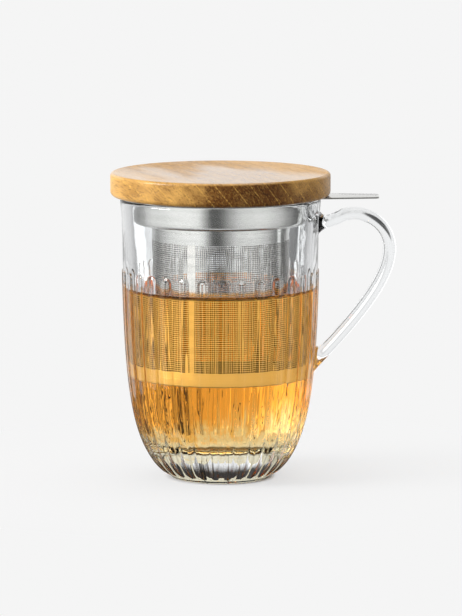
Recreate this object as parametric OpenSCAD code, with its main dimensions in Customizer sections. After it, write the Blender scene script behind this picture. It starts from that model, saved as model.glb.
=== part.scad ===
// A glass tea mug with a moulded handle, a lift-out steel infuser and a wooden lid.
// Millimetres, +Z up. The origin is the centre of the flat foot, on the mug's own axis.
// The handle and the infuser's lifting tab point along +X.

/* [Mug] */
// Height of the glass from the table to the rim
mug_height = 119.4; // [105:0.1:135]
// Outside diameter of the glass at the rim
rim_diameter = 85; // [80:0.5:92]
// Outside diameter of the glass between the ribs, at the top of the bowl
belly_diameter = 82.6; // [78:0.2:84]
// Diameter of the flat foot
foot_diameter = 42; // [34:0.5:50]
// Height at which the curve of the bowl ends
bowl_height = 88; // [70:0.5:95]
// Thickness of the glass wall at the rim
rim_wall = 5.2; // [4:0.1:6]
// Draft of the bore, so that the moulding plunger comes out
bore_draft = 3.2; // [2:0.1:4]
// Thickness of the glass floor
floor_thickness = 14.6; // [9:0.2:17]
// Radius between the floor and the wall of the bore
bore_corner = 17; // [10:0.5:20]

/* [Ribs] */
// Number of ribs round the bowl
rib_count = 32; // [24:1:40]
// How far a rib stands out of the bowl
rib_height = 0.4; // [0.2:0.05:0.8]
// How far the tops of the ribs rise past the end of the bowl's curve
rib_rise = 1.2; // [0.5:0.1:5]
// Share of the pitch that each rib fills
rib_share = 0.5; // [0.3:0.02:0.7]
// Angle from the handle's plane to the middle of the first rib, in degrees
rib_turn = 1; // [0:0.1:11]

/* [Handle] */
// Depth of the highest point on the handle's centre line below the rim
handle_drop = 6.9; // [5.5:0.1:15]
// Radius of the round upper part of the handle, at its centre line
handle_radius = 15; // [11:0.2:17]
// How far the handle's centre line stands out from the belly
handle_reach = 30.2; // [26:0.1:40]
// Height at which the handle's centre line meets the glass at its lower end
handle_foot = 49; // [44:0.1:56]
// Slope of the straight lower part of the handle, in degrees
handle_slope = 47.1; // [42:0.1:56]
// Thickness of the handle, measured across the finger opening
handle_thickness = 5.5; // [4.5:0.1:8]
// Width of the handle, front to back
handle_width = 10.5; // [8:0.2:14]

/* [Infuser] */
// Thickness of the drawn collar, the flange and the lifting tab
collar_steel = 0.6; // [0.4:0.1:0.8]
// Thickness of the strainer's steel
strainer_steel = 0.3; // [0.2:0.05:0.5]
// How far the flange stands out past the outside of the rim
flange_overhang = 0.5; // [0:0.1:1.5]
// Depth of the collar below the top of the flange
collar_depth = 11; // [8:0.2:15]
// Radius of the collar's lower edge
collar_corner = 2.2; // [1.2:0.1:3]
// Outside diameter of the strainer
strainer_diameter = 58.2; // [50:0.2:62]
// Height of the strainer's underside above the table
strainer_bottom = 43; // [30:0.5:60]
// Height of the cup that closes the strainer
base_height = 3.2; // [2:0.1:6]
// Height of the bead under the collar, as wide as the strainer
bead_height = 1.8; // [0.8:0.1:3]
// Height of the collar's neck, inside the strainer's upper end
neck_height = 4; // [2.5:0.1:6]
// Length of the lifting tab past the edge of the flange
tab_length = 23.9; // [15:0.1:30]
// Width of the lifting tab where it leaves the flange
tab_root_width = 19.5; // [14:0.5:26]
// Width of the lifting tab at its end
tab_end_width = 13.5; // [8:0.5:18]

/* [Lid] */
// How far the lid stands out past the flange, all round
lid_overhang = 3.5; // [1:0.1:7]
// Thickness of the lid
lid_thickness = 10; // [7:0.2:14]
// Rounding of the lid's upper edge
lid_top_round = 1.4; // [0.6:0.1:2.5]
// Rounding of the lid's lower edge
lid_bottom_round = 2.2; // [0.6:0.1:3]
// Depth of the spigot under the lid
spigot_depth = 5.6; // [5:0.1:7.5]
// Thickness of the silicone ring
seal_thickness = 1.9; // [1.4:0.1:2.5]
// Height of the silicone ring
seal_height = 4; // [3.5:0.1:4.1]
// How far the ring's sealing lips stand out of it
seal_lip = 0.8; // [0.4:0.1:1.2]

/* [Clearances] */
// Gap all round between the collar and the glass, at the collar's lower edge
collar_clearance = 0.45; // [0.2:0.05:1]
// Gap all round between the silicone ring and the collar
seal_clearance = 0.1; // [0.05:0.05:0.3]
// Depth to which the handle's ends are fused into the glass
fusion_depth = 2.4; // [1.8:0.1:3]
// Gap all round where one drawn steel piece slips over another
seam_clearance = 0.03; // [0.01:0.01:0.08]

/* [Hidden] */
$fn = 96;

// Colours
glass_colour = [0.82, 0.9, 0.9, 0.45];
steel_colour = [0.72, 0.72, 0.7];
wood_colour = [0.72, 0.46, 0.2];
silicone_colour = [0.9, 0.9, 0.88];

// Glass, worked out from the driving sizes
rim_r = rim_diameter / 2;
belly_r = belly_diameter / 2;
foot_r = foot_diameter / 2;
foot_round = 0.6;
rim_round = 1.5;
bore_top_r = rim_r - rim_wall;
curve_steps = 16;
rib_pitch = 360 / rib_count;
rib_foot_height = 3;
rib_top = bowl_height + rib_rise;
rib_taper = 1;
rib_root = 1;

// Points of the bowl's one curve: it leaves the foot flat and reaches the belly nearly upright
bowl_curve = [[foot_r, foot_round],
              [foot_r + 0.78 * (belly_r - foot_r), 0.11 * bowl_height],
              [belly_r - 1.1, 0.4 * bowl_height],
              [belly_r, bowl_height]];
neck_curve = [[belly_r, bowl_height],
              [belly_r + 0.25, bowl_height + 0.35 * (mug_height - bowl_height)],
              [rim_r - 0.9, bowl_height + 0.7 * (mug_height - bowl_height)],
              [rim_r, mug_height - rim_round]];

// Infuser
flange_top = mug_height + collar_steel;
flange_r = rim_r + flange_overhang;
collar_bottom = flange_top - collar_depth;
collar_r = bore_r(collar_bottom + collar_corner) - collar_clearance;
collar_bore_r = collar_r - collar_steel;
bend_r = 1.2;
strainer_r = strainer_diameter / 2;
strainer_bore_r = strainer_r - strainer_steel;
neck_r = strainer_bore_r - seam_clearance;
strainer_top = collar_bottom - bead_height;
base_r = strainer_r + seam_clearance;
tab_reach = flange_r + tab_length;
tab_corner = 1.6;

// Lid
lid_r = flange_r + lid_overhang;
seal_r = collar_bore_r - seal_clearance;
seal_seat_r = seal_r - seal_thickness;
spigot_r = seal_seat_r + 0.9;
seal_bottom = flange_top - 0.8 - seal_height;

// Handle, in the plane y = 0: an arc over the top, then a run that straightens down to the glass
handle_top = mug_height - handle_drop;
arc_centre = [belly_r + handle_reach - handle_radius, handle_top - handle_radius];
arc_from = 104;
arc_to = 6;
arc_steps = 12;
run_steps = 8;
run_start_pull = 12.1;
run_end_pull = 25.3;
root_steps = 7;
upper_root_drop = 4.1;
upper_root_pull = 8;
upper_arc_pull = 2;
lower_root_length = 6;
handle_sides = 20;

// Fillets where the handle meets the glass, each on its outer side and on its finger side
upper_fillet = [4.3, 2.7];
lower_fillet = [0, 6.5];
fillet_reach = [4, 7.5];
side_fillet = 1.3;

function bezier(p, t) = pow(1 - t, 3) * p[0] + 3 * pow(1 - t, 2) * t * p[1]
    + 3 * (1 - t) * t * t * p[2] + t * t * t * p[3];
function curve_points(p) = [for (i = [0 : curve_steps]) bezier(p, i / curve_steps)];
function bore_r(z) = bore_top_r - (mug_height - z) * tan(bore_draft);
function arc_points(centre, radius, from, to, steps = 8) =
    [for (i = [0 : steps]) let (a = from + (to - from) * i / steps) centre + radius * [cos(a), sin(a)]];
// Radius of the glass between its ribs at a height on the bowl or the neck, by the nearest curve point
function outside_r(z) = let (
    outline = concat(curve_points(bowl_curve), curve_points(neck_curve)),
    below = [for (p = outline) if (p[1] <= z) p],
    above = [for (p = outline) if (p[1] > z) p],
    a = below[len(below) - 1],
    b = above[0]
) a[0] + (b[0] - a[0]) * (z - a[1]) / (b[1] - a[1]);

// ---- Glass -------------------------------------------------------------------------------------

module body_outline() {
    corner = [rim_r - rim_round, mug_height - rim_round];
    polygon(concat([[0, 0], [foot_r - foot_round, 0]],
                   curve_points(bowl_curve),
                   [for (i = [1 : curve_steps]) bezier(neck_curve, i / curve_steps)],
                   [for (p = arc_points(corner, rim_round, 15, 90, 5)) p],
                   [[0, mug_height]]));
}

// The bore: a drafted wall that an arc joins to the flat floor, with a rounded lip at the rim
module bore_outline() {
    wall_foot_r = bore_r(floor_thickness + bore_corner);
    lip_r = bore_r(mug_height - rim_round);
    polygon(concat([[0, floor_thickness]],
                   arc_points([wall_foot_r - bore_corner, floor_thickness + bore_corner], bore_corner,
                              -90, -bore_draft, 14),
                   [[lip_r, mug_height - rim_round]],
                   [for (p = arc_points([lip_r + rim_round, mug_height - rim_round], rim_round, 165, 90, 5)) p],
                   [[lip_r + rim_round, mug_height + 1], [0, mug_height + 1]]));
}

// One rib: the bowl's curve, carried outwards, sloped into the glass at both ends and turned through
// the rib's width
module rib() {
    low = rib_foot_height;
    rise = [rib_height, 0];
    root = [rib_root, 0];
    curve = concat([[outside_r(low + rib_taper), low + rib_taper]],
                   [for (p = curve_points(bowl_curve)) if (p[1] > low + 2 * rib_taper) p],
                   [[outside_r(rib_top - rib_taper), rib_top - rib_taper]]);
    low_end = [outside_r(low - rib_taper), low - rib_taper];
    top_end = [outside_r(rib_top + rib_taper), rib_top + rib_taper];
    rotate([0, 0, rib_turn - rib_pitch * rib_share / 2])
        rotate_extrude(angle = rib_pitch * rib_share)
            polygon(concat([low_end - root, low_end - rise], [for (p = curve) p + rise],
                           [top_end - rise, top_end - root],
                           [for (i = [len(curve) - 1 : -1 : 0]) curve[i] - root]));
}

module glass_body() {
    color(glass_colour)
        difference() {
            union() {
                rotate_extrude() body_outline();
                for (i = [0 : rib_count - 1])
                    rotate([0, 0, i * rib_pitch]) rib();
            }
            rotate_extrude() bore_outline();
        }
}

// Centre line of the handle: upper root, arc, run and straight lower root, each point [x, z]
function handle_line() = let (
    top_z = handle_top - upper_root_drop,
    top_end = [outside_r(top_z) - fusion_depth, top_z],
    arc = arc_points(arc_centre, handle_radius, arc_from, arc_to, arc_steps),
    over = [top_end, top_end + [upper_root_pull, 0],
            arc[0] - upper_arc_pull * [sin(arc_from), -cos(arc_from)], arc[0]],
    slope = [cos(handle_slope), sin(handle_slope)],
    wall = [outside_r(handle_foot), handle_foot],
    run_end = wall + lower_root_length * slope,
    foot_end = wall - fusion_depth / slope[0] * slope,
    last = arc[len(arc) - 1],
    run = [last, last + run_start_pull * [sin(arc_to), -cos(arc_to)], run_end + run_end_pull * slope, run_end]
) concat([for (i = [0 : root_steps - 1]) bezier(over, i / root_steps)], arc,
         [for (i = [1 : run_steps]) bezier(run, i / run_steps)],
         [for (i = [1 : root_steps]) run_end + (foot_end - run_end) * i / root_steps]);

function along(path, i) = let (
    n = len(path),
    d = path[min(i + 1, n - 1)] - path[max(i - 1, 0)]
) d / norm(d);
function run_length(path, i) = i == 0 ? 0 : norm(path[i] - path[i - 1]) + run_length(path, i - 1);
// Share of a fillet at a distance from the glass: all of it inside the glass, none past its reach
function share(past, reach) = pow(min(1, max(0, 1 - past / reach)), 2);

// The handle's section is upright where it meets the glass and square to the centre line elsewhere
module glass_handle() {
    path = handle_line();
    n = len(path);
    total = run_length(path, n - 1);
    rings = [for (i = [0 : n - 1]) let (
        d = along(path, i),
        s = run_length(path, i),
        upper = s < total / 2,
        past = upper ? s - fusion_depth : total - s - fusion_depth / cos(handle_slope),
        fillets = upper ? upper_fillet : -lower_fillet,
        upright = share(past, fillet_reach[1]),
        across = (1 - upright) * [-d[1], d[0]] + upright * [0, 1 / d[0]]
    ) for (k = [0 : handle_sides - 1]) let (
        a = 360 * k / handle_sides,
        side = cos(a) > 0 ? 0 : 1,
        u = handle_thickness / 2 * cos(a),
        v = (handle_width / 2 + side_fillet * share(past, fillet_reach[0])) * sin(a),
        lift = fillets[side] * share(past, fillet_reach[side]) * cos(a)
    ) [path[i][0] + across[0] * u, v, path[i][1] + across[1] * u + lift]];
    sides = [for (i = [0 : n - 2]) for (k = [0 : handle_sides - 1]) let (
        k2 = (k + 1) % handle_sides
    ) [i * handle_sides + k, i * handle_sides + k2, (i + 1) * handle_sides + k2, (i + 1) * handle_sides + k]];
    caps = [[for (k = [handle_sides - 1 : -1 : 0]) k],
            [for (k = [0 : handle_sides - 1]) (n - 1) * handle_sides + k]];
    color(glass_colour)
        polyhedron(points = rings, faces = concat(sides, caps), convexity = 4);
}

// ---- Infuser -----------------------------------------------------------------------------------

// One drawn piece: flange, upright wall, rounded lower edge, step, bead and the neck that holds the strainer
module infuser_collar() {
    t = collar_steel;
    floor_top = collar_bottom + t;
    bend = [collar_r + bend_r, flange_top - t - bend_r];
    edge = [collar_r - collar_corner, collar_bottom + collar_corner];
    color(steel_colour)
        rotate_extrude()
            polygon(concat(
                [[flange_r, flange_top], [flange_r, flange_top - t]],
                arc_points(bend, bend_r, 90, 180, 6),
                arc_points(edge, collar_corner, 0, -90, 8),
                [[strainer_r, collar_bottom], [strainer_r, strainer_top], [neck_r, strainer_top],
                 [neck_r, strainer_top - neck_height], [neck_r - t, strainer_top - neck_height],
                 [neck_r - t, floor_top]],
                arc_points(edge, collar_corner - t, -90, 0, 8),
                arc_points(bend, bend_r + t, 180, 90, 6)));
}

// A flat tab in the plane of the flange, welded to the flange's edge
module lift_tab() {
    half_root = tab_root_width / 2;
    half_end = tab_end_width / 2;
    root_x = flange_r - collar_steel * 4;
    corner = [tab_reach - tab_corner, half_end - tab_corner];
    color(steel_colour)
        translate([0, 0, flange_top - collar_steel])
            linear_extrude(collar_steel)
                difference() {
                    polygon(concat([[root_x, -half_root]],
                                   arc_points([corner[0], -corner[1]], tab_corner, -90, 0, 5),
                                   arc_points(corner, tab_corner, 0, 90, 5),
                                   [[root_x, half_root]]));
                    circle(flange_r);
                }
}

// The etched sheet, rolled to a tube. Its holes are too fine for this model and aren't cut
module strainer_wall() {
    wall_bottom = strainer_bottom + strainer_steel;
    color(steel_colour)
        difference() {
            translate([0, 0, wall_bottom]) cylinder(r = strainer_r, h = strainer_top - wall_bottom);
            translate([0, 0, wall_bottom - 1]) cylinder(r = strainer_bore_r, h = strainer_top - wall_bottom + 2);
        }
}

// The shallow cup pressed over the lower end of the tube
module strainer_base() {
    color(steel_colour)
        difference() {
            translate([0, 0, strainer_bottom]) cylinder(r = base_r + strainer_steel, h = base_height);
            translate([0, 0, strainer_bottom + strainer_steel]) cylinder(r = base_r, h = base_height);
        }
}

// ---- Lid ---------------------------------------------------------------------------------------

module lid_disc() {
    top = flange_top + lid_thickness;
    groove_top = seal_bottom + seal_height;
    color(wood_colour)
        rotate_extrude()
            polygon(concat(
                [[0, flange_top - spigot_depth], [spigot_r, flange_top - spigot_depth],
                 [spigot_r, seal_bottom], [seal_seat_r, seal_bottom], [seal_seat_r, groove_top],
                 [spigot_r, groove_top], [spigot_r, flange_top]],
                arc_points([lid_r - lid_bottom_round, flange_top + lid_bottom_round], lid_bottom_round,
                           -90, 0, 8),
                arc_points([lid_r - lid_top_round, top - lid_top_round], lid_top_round, 0, 90, 8),
                [[0, top]]));
}

// A silicone ring in the spigot's groove, with two lips that bear on the collar
module lid_seal() {
    lip = seal_height / 4;
    color(silicone_colour)
        rotate_extrude()
            polygon([[seal_seat_r, seal_bottom], [seal_r - seal_lip, seal_bottom],
                     [seal_r, seal_bottom + lip * 0.9], [seal_r, seal_bottom + lip * 1.3],
                     [seal_r - seal_lip, seal_bottom + lip * 1.7], [seal_r - seal_lip, seal_bottom + lip * 2.3],
                     [seal_r, seal_bottom + lip * 2.9], [seal_r, seal_bottom + lip * 3.3],
                     [seal_r - seal_lip, seal_bottom + lip * 3.8], [seal_r - seal_lip, seal_bottom + lip * 4],
                     [seal_seat_r, seal_bottom + lip * 4]]);
}

glass_body();
glass_handle();
infuser_collar();
lift_tab();
strainer_wall();
strainer_base();
lid_disc();
lid_seal();
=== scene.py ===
"""A glass tea mug with a lift-out steel infuser and a wooden lid.

Each sub-assembly is a class that holds its own sizes in millimetres, builds its meshes and dresses them.
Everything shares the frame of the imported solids: the foot stands at z = 0 round the Z axis, and the handle
points along +X.
"""

from __future__ import annotations

import logging
import math
from dataclasses import dataclass
from enum import Enum
from typing import Callable, Sequence, Union

import bmesh
import bpy
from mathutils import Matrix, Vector


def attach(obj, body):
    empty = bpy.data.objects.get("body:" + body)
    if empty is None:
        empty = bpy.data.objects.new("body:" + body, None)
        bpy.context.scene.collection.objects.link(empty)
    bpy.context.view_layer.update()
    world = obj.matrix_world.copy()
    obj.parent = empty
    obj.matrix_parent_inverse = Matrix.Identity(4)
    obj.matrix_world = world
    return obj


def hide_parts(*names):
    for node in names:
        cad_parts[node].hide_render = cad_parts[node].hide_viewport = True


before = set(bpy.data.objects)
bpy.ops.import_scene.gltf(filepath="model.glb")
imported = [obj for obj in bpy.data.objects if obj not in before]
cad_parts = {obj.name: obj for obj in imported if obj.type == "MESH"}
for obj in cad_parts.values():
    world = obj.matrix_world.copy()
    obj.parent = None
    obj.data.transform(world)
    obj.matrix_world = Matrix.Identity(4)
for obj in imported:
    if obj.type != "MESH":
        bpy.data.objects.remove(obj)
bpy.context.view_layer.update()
LOG = logging.getLogger("tea_mug")
MM = 0.001
Point = tuple[float, float]
Place = tuple[float, float, float]
Colour = tuple[float, float, float, float]
Piece = bpy.types.Object
Mesh = bmesh.types.BMesh
Material = bpy.types.Material
Socket = bpy.types.NodeSocket
Feed = Union[Socket, float, tuple[float, ...]]


class Slot(Enum):
    """Material slots of the record that the pieces' finishes belong to."""

    GLASS = "clear_glass"
    STEEL = "steel"
    WOOD = "wood"
    SILICONE = "silicone"


class Body(Enum):
    """Bodies of the mug that move against each other."""

    MUG = "mug"
    INFUSER = "infuser"
    LID = "lid"


# ---- Curves and meshes -----------------------------------------------------------------------------


def bezier(handles: Sequence[Point], steps: int) -> list[Point]:
    """Points along a cubic Bezier curve, both ends included.

    Args:
        handles: The curve's four control points.
        steps: Number of stretches between the points.

    Returns:
        steps + 1 points.
    """
    points = []
    for i in range(steps + 1):
        t = i / steps
        weights = ((1 - t) ** 3, 3 * (1 - t) ** 2 * t, 3 * (1 - t) * t * t, t**3)
        points.append(tuple(sum(w * p[axis] for w, p in zip(weights, handles)) for axis in (0, 1)))
    return points


def arc(centre: Point, radius: float, start: float, stop: float, steps: int) -> list[Point]:
    """Points along a circular arc, both ends included.

    Args:
        centre: Centre of the arc.
        radius: Radius of the arc.
        start: Angle of the first point in degrees.
        stop: Angle of the last point in degrees.
        steps: Number of stretches between the points.

    Returns:
        steps + 1 points.
    """
    angles = [math.radians(start + (stop - start) * i / steps) for i in range(steps + 1)]
    return [(centre[0] + radius * math.cos(a), centre[1] + radius * math.sin(a)) for a in angles]


def densify(outline: Sequence[Point], spacing: Callable[[Point], float]) -> list[Point]:
    """Adds points to an outline, so that no stretch is longer than the spacing wanted there.

    Args:
        outline: The outline's own points.
        spacing: Gives the longest stretch allowed at a point.

    Returns:
        The outline with points added along its stretches.
    """
    points = [outline[0]]
    for a, b in zip(outline, outline[1:]):
        middle = ((a[0] + b[0]) / 2, (a[1] + b[1]) / 2)
        parts = max(1, math.ceil(math.dist(a, b) / spacing(middle)))
        for i in range(1, parts + 1):
            points.append((a[0] + (b[0] - a[0]) * i / parts, a[1] + (b[1] - a[1]) * i / parts))
    return points


def revolve(outline: Sequence[Point], columns: int, closed: bool = False, start: float = 0.0) -> Mesh:
    """Spins an outline of (radius, height) points in millimetres about the Z axis.

    Args:
        outline: The outline, from the axis to the axis, a loop, or one side of a sheet.
        columns: Number of columns in a full turn.
        closed: Whether the outline's last point joins its first.
        start: Angle of the first column in radians.

    Returns:
        A mesh in metres with its faces outwards.
    """
    bm = bmesh.new()
    verts = [bm.verts.new((r * math.cos(start) * MM, r * math.sin(start) * MM, z * MM)) for r, z in outline]
    pairs = list(zip(verts, verts[1:])) + ([(verts[-1], verts[0])] if closed else [])
    edges = [bm.edges.new(pair) for pair in pairs]
    bmesh.ops.spin(
        bm, geom=verts + edges, cent=(0, 0, 0), axis=(0, 0, 1), angle=math.tau, steps=columns, use_merge=True
    )
    bmesh.ops.remove_doubles(bm, verts=bm.verts, dist=1e-6)
    bmesh.ops.dissolve_degenerate(bm, edges=bm.edges, dist=1e-7)
    bmesh.ops.recalc_face_normals(bm, faces=bm.faces)
    return bm


def finish_mesh(bm: Mesh, name: str, sharp_angle: float = 40.0) -> Piece:
    """Makes an object of a mesh, smooth except along its sharp edges.

    Args:
        bm: The mesh, which is freed.
        name: The object's name.
        sharp_angle: Angle in degrees past which an edge stays sharp.

    Returns:
        The object, at the origin and linked to the scene.
    """
    bm.normal_update()
    limit = math.radians(sharp_angle)
    for face in bm.faces:
        face.smooth = True
    for edge in bm.edges:
        edge.smooth = len(edge.link_faces) != 2 or edge.calc_face_angle(0.0) < limit
    mesh = bpy.data.meshes.new(name)
    bm.to_mesh(mesh)
    bm.free()
    piece = bpy.data.objects.new(name, mesh)
    bpy.context.scene.collection.objects.link(piece)
    return piece


def turned(name: str, outline: Sequence[Point], columns: int, longest: float, closed: bool = False) -> Piece:
    """Makes a turned piece.

    Args:
        name: The piece's name.
        outline: Its (radius, height) points in millimetres.
        columns: Number of columns in a full turn.
        longest: Longest stretch wanted along the outline.
        closed: Whether the outline is a loop.

    Returns:
        The piece, smooth except along its sharp edges.
    """
    return finish_mesh(revolve(densify(outline, lambda point: longest), columns, closed), name, 35)


def new_verts(geometry: Sequence[object]) -> list[bmesh.types.BMVert]:
    """Picks the vertices out of what an extrude gives back."""
    return [item for item in geometry if isinstance(item, bmesh.types.BMVert)]


def settle(piece: Piece) -> None:
    """Applies a piece's modifiers to its mesh."""
    evaluated = piece.evaluated_get(bpy.context.evaluated_depsgraph_get())
    mesh = bpy.data.meshes.new_from_object(evaluated)
    piece.modifiers.clear()
    piece.data = mesh


def dress(piece: Piece, material: Material, body: Body, slot: Slot, *nodes: str) -> None:
    """Gives a piece its material and its body, and hides the solids that it stands for.

    Args:
        piece: The piece to dress.
        material: Its finish.
        body: The body that it moves with.
        slot: The record's slot that its finish belongs to; not used.
        nodes: Names of the solids that it replaces.
    """
    piece.data.materials.clear()
    piece.data.materials.append(material)
    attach(piece, body.value)
    if nodes:
        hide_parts(*nodes)
    LOG.info("%s: %d faces, on %s", piece.name, len(piece.data.polygons), body.value)


# ---- Materials -------------------------------------------------------------------------------------


def rgba(red: float, green: float, blue: float) -> Colour:
    """A linear colour with full alpha."""
    return (red, green, blue, 1.0)


class Mix(Enum):
    """What a Mix node mixes: its data type, its first value's input and its output."""

    NUMBER = ("FLOAT", 2, 0)
    VECTOR = ("VECTOR", 4, 1)
    COLOUR = ("RGBA", 6, 2)


class Nodes:
    """A node tree with short ways to add nodes to it."""

    def __init__(self, tree: bpy.types.NodeTree) -> None:
        """Works on a tree that exists."""
        self.tree = tree

    def node(self, kind: str, **settings: object) -> bpy.types.Node:
        """Adds a node and sets its properties."""
        made = self.tree.nodes.new(kind)
        for key, value in settings.items():
            setattr(made, key, value)
        return made

    def feed(self, socket: Socket, value: Feed) -> None:
        """Links a socket to another, or sets it to a plain value."""
        if isinstance(value, Socket):
            self.tree.links.new(value, socket)
        else:
            socket.default_value = value

    def fed(self, kind: str, values: Sequence[Feed], **settings: object) -> bpy.types.Node:
        """Adds a node and feeds its first inputs in order."""
        made = self.node(kind, **settings)
        for socket, value in zip(made.inputs, values):
            self.feed(socket, value)
        return made

    def math(self, operation: str, *values: Feed) -> Socket:
        """Adds a Math node."""
        return self.fed("ShaderNodeMath", values, operation=operation).outputs[0]

    def times(self, first: Feed, second: Feed) -> Socket:
        """Multiplies two numbers."""
        return self.math("MULTIPLY", first, second)

    def line(self, value: Feed, slope: Feed, start: Feed) -> Socket:
        """Multiplies a number by a slope and adds a start."""
        return self.math("MULTIPLY_ADD", value, slope, start)

    def vector(self, operation: str, *values: Feed) -> Socket:
        """Adds a Vector Math node and gives its number where it has one, else its vector."""
        made = self.fed("ShaderNodeVectorMath", values, operation=operation)
        return made.outputs["Value" if operation in ("LENGTH", "DOT_PRODUCT") else "Vector"]

    def stretch(self, place: Feed, x: float, y: float, z: float) -> Socket:
        """Scales a place along the three axes."""
        return self.vector("MULTIPLY", place, (x, y, z))

    def from_axis(self, place: Feed) -> Socket:
        """Distance of a place from the Z axis."""
        return self.vector("LENGTH", self.stretch(place, 1.0, 1.0, 0.0))

    def join(self, x: Feed, y: Feed, z: Feed) -> Socket:
        """Makes a vector of three numbers."""
        return self.fed("ShaderNodeCombineXYZ", (x, y, z)).outputs[0]

    def split(self, place: Feed) -> list[Socket]:
        """Takes a vector apart into its three numbers."""
        return list(self.fed("ShaderNodeSeparateXYZ", (place,)).outputs)

    def fade(self, value: Feed, low: float, high: float, start: Feed = 0.0, end: Feed = 1.0) -> Socket:
        """Goes smoothly from start to end as a value goes from low to high."""
        values = (value, low, high, start, end)
        return self.fed("ShaderNodeMapRange", values, interpolation_type="SMOOTHSTEP").outputs["Result"]

    def noise(self, place: Feed, scale: Feed, detail: float = 2.0, roughness: float = 0.5) -> Socket:
        """Adds a Noise Texture and gives its number."""
        made = self.node("ShaderNodeTexNoise")
        parts = {"Vector": place, "Scale": scale, "Detail": detail, "Roughness": roughness}
        for name, part in parts.items():
            self.feed(made.inputs[name], part)
        return made.outputs["Fac"]

    def mix(self, kind: Mix, share: Feed, first: Feed, second: Feed) -> Socket:
        """Mixes two values.

        Args:
            kind: What they are.
            share: The second one's share.
            first: What a share of 0 gives.
            second: What a share of 1 gives.

        Returns:
            The mixture.
        """
        data_type, place, output = kind.value
        made = self.node("ShaderNodeMix", data_type=data_type)
        for index, part in ((0, share), (place, first), (place + 1, second)):
            self.feed(made.inputs[index], part)
        return made.outputs[output]

    def blend(self, share: Feed, first: Feed, second: Feed) -> Socket:
        """Mixes two colours."""
        return self.mix(Mix.COLOUR, share, first, second)


class Effect(Enum):
    """Surface effects that several finishes share, each one node group."""

    MARKS = "handling_marks"
    GRAIN = "turned_grain"
    RIPPLE = "soft_ripple"


class EffectTree(Nodes):
    """A node group under construction, with named sockets."""

    def __init__(self, name: str, inputs: dict[str, str], outputs: dict[str, str]) -> None:
        """Starts a group.

        Args:
            name: The group's name.
            inputs: Kind of socket by name.
            outputs: Kind of socket by name.
        """
        super().__init__(bpy.data.node_groups.new(name, "ShaderNodeTree"))
        for way, sockets in (("INPUT", inputs), ("OUTPUT", outputs)):
            for label, kind in sockets.items():
                self.tree.interface.new_socket(label, in_out=way, socket_type=f"NodeSocket{kind}")
        self.inputs = self.node("NodeGroupInput").outputs
        self.outputs = self.node("NodeGroupOutput").inputs


def handling_marks() -> bpy.types.NodeTree:
    """Faint smears where hands and cloths have been: less gloss in soft patches."""
    made = EffectTree(
        Effect.MARKS.value,
        {"Place": "Vector", "Size": "Float", "Clean": "Float", "Marked": "Float"},
        {"Roughness": "Float", "Marks": "Float"},
    )
    place, size = made.inputs["Place"], made.inputs["Size"]
    patch = made.fade(made.noise(place, size, 3.0, 0.55), 0.46, 0.68)
    streak = made.noise(made.stretch(place, 1.0, 1.0, 0.35), made.times(size, 7.0), 2.0, 0.6)
    marks = made.times(patch, made.fade(streak, 0.3, 0.7, 0.35, 1.0))
    made.feed(made.outputs["Marks"], marks)
    span = made.math("SUBTRACT", made.inputs["Marked"], made.inputs["Clean"])
    made.feed(made.outputs["Roughness"], made.line(marks, span, made.inputs["Clean"]))
    return made.tree


def turned_grain() -> bpy.types.NodeTree:
    """Fine lines that run round the axis, or along X where the grain is straight."""
    made = EffectTree(
        Effect.GRAIN.value,
        {"Place": "Vector", "Lines": "Float", "Straight": "Float"},
        {"Height": "Float", "Shade": "Float"},
    )
    x, y, z = made.split(made.inputs["Place"])
    radius = made.math("SQRT", made.math("ADD", made.times(x, x), made.times(y, y)))
    round_the_axis = made.join(radius, made.times(made.math("ARCTAN2", y, x), 0.0008), z)
    along = made.join(y, made.times(x, 0.02), z)
    way = made.mix(Mix.VECTOR, made.inputs["Straight"], round_the_axis, along)
    lines = made.noise(way, made.inputs["Lines"], 3.0, 0.65)
    broad = made.noise(way, made.times(made.inputs["Lines"], 0.11), 1.0, 0.5)
    made.feed(made.outputs["Height"], lines)
    made.feed(made.outputs["Shade"], made.line(broad, 0.6, made.times(lines, 0.4)))
    return made.tree


def soft_ripple() -> bpy.types.NodeTree:
    """Slow unevenness of a surface that was liquid or soft when it got its shape."""
    made = EffectTree(Effect.RIPPLE.value, {"Place": "Vector", "Size": "Float"}, {"Height": "Float"})
    made.feed(made.outputs["Height"], made.noise(made.inputs["Place"], made.inputs["Size"], 2.0, 0.45))
    return made.tree


BUILDERS: dict[Effect, Callable[[], bpy.types.NodeTree]] = {
    Effect.MARKS: handling_marks,
    Effect.GRAIN: turned_grain,
    Effect.RIPPLE: soft_ripple,
}


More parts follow.
